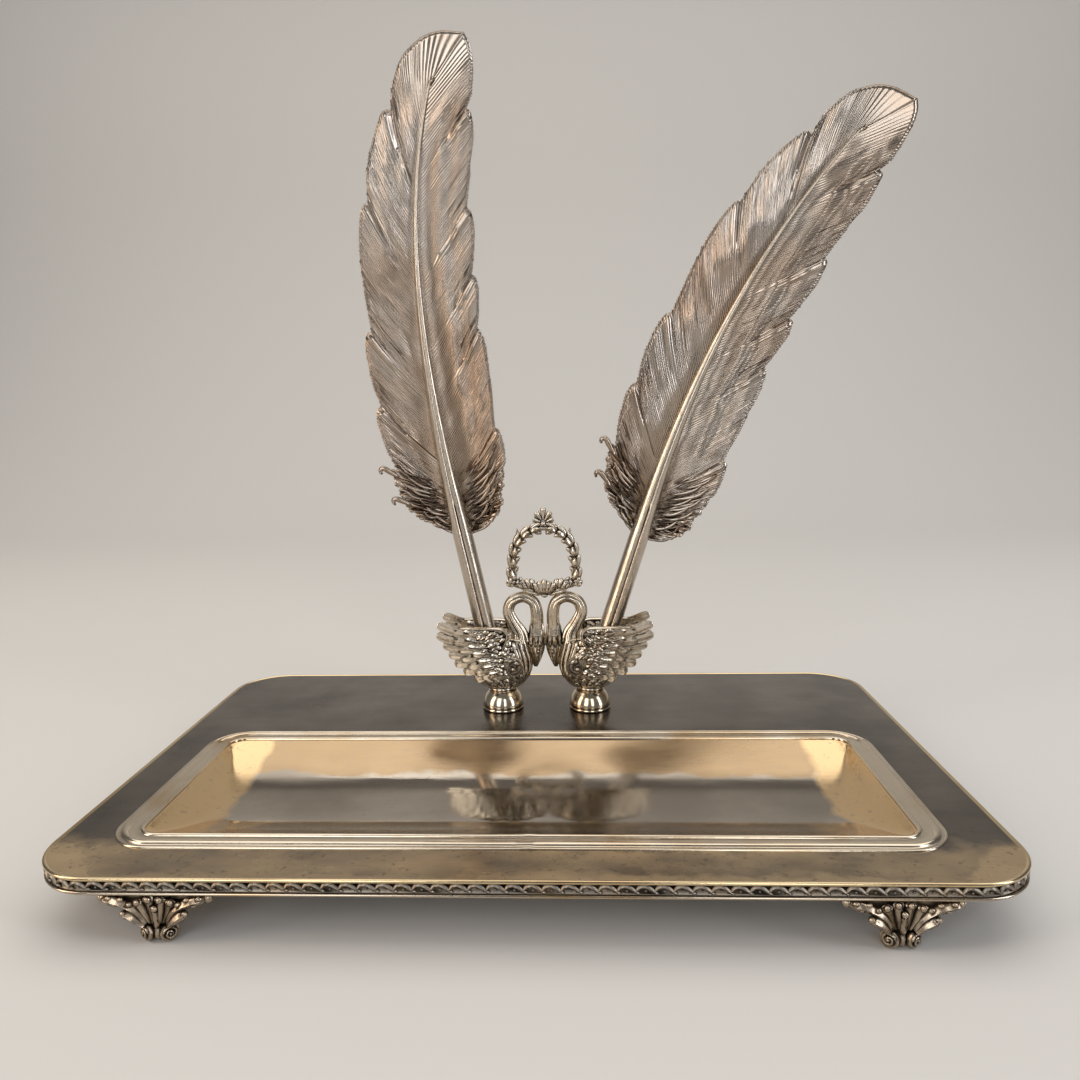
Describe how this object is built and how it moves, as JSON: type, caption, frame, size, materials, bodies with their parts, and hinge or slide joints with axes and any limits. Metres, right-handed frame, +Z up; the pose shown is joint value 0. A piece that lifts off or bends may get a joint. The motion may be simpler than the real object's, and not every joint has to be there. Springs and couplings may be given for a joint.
{
  "type": "desk inkstand",
  "caption": "Silver desk stand on scrolled feet: a plate with a long pen well, and swans that carry a wreath and hold feather-shaped pens.",
  "frame": {"origin": "on the table, under the middle of the plate", "axes": "+X to the right, +Y away from the writer towards the swans, +Z up"},
  "size_m": [0.2711, 0.17, 0.269],
  "materials": {
    "mirror_silver": "rolled silver sheet, polished, with smudged tarnish",
    "well_silver": "raised silver sheet, polished, with yellow tarnish",
    "drawn_silver": "drawn silver wire, bright",
    "oxidised_silver": "cast silver, oxidised in its hollows and rubbed bright on its high points",
    "spun_silver": "spun silver, polished",
    "swan_silver": "cast and chased silver, bright with dark hollows",
    "quill_silver": "cast and chased silver, warm, finely hatched",
    "barrel_silver": "silver tube, polished, warm",
    "steel": "plain turned steel",
    "point_metal": "turned metal, satin",
    "refill_metal": "drawn brass tube"
  },
  "bodies": {
    "stand": {"top_plate": "mirror_silver", "pen_well": "well_silver", "well_border": "drawn_silver", "rim_wire": "drawn_silver", "edge_band": "oxidised_silver", "lower_bead": "drawn_silver", "foot_front_left": "oxidised_silver", "foot_front_right": "oxidised_silver", "foot_back_left": "oxidised_silver", "foot_back_right": "oxidised_silver", "pedestal_left": "spun_silver", "pedestal_right": "spun_silver", "swan_body_left": "swan_silver", "swan_body_right": "swan_silver", "swan_neck_left": "swan_silver", "swan_neck_right": "swan_silver", "near_wing_left": "swan_silver", "far_wing_left": "swan_silver", "near_wing_right": "swan_silver", "far_wing_right": "swan_silver", "pen_socket_left": "spun_silver", "pen_socket_right": "spun_silver", "swan_stud_left": "steel", "swan_stud_right": "steel", "stud_washers": "steel", "stud_nuts": "steel", "wreath": "oxidised_silver"},
    "pen_point_left": {"point_section_left": "point_metal", "ink_refill_left": "refill_metal"},
    "pen_point_right": {"point_section_right": "point_metal", "ink_refill_right": "refill_metal"},
    "feather_left": {"quill_barrel_left": "barrel_silver", "quill_rachis_left": "barrel_silver", "quill_vane_left": "quill_silver"},
    "feather_right": {"quill_barrel_right": "barrel_silver", "quill_rachis_right": "barrel_silver", "quill_vane_right": "quill_silver"}
  },
  "joints": [
    {"name": "left_pen_lift", "type": "slide", "parent": "stand", "child": "pen_point_left", "axis": [-0.2028, 0, 0.9792], "range_m": [0, 0.03]},
    {"name": "right_pen_lift", "type": "slide", "parent": "stand", "child": "pen_point_right", "axis": [0.3074, 0, 0.9516], "range_m": [0, 0.03]},
    {"name": "left_feather_turn", "type": "hinge", "parent": "pen_point_left", "child": "feather_left", "pos_m": [-0.0183, 0.043, 0.0342], "axis": [-0.2028, 0, 0.9792], "continuous": true},
    {"name": "right_feather_turn", "type": "hinge", "parent": "pen_point_right", "child": "feather_right", "pos_m": [0.0219, 0.043, 0.0342], "axis": [0.3074, 0, 0.9516], "continuous": true}
  ]
}
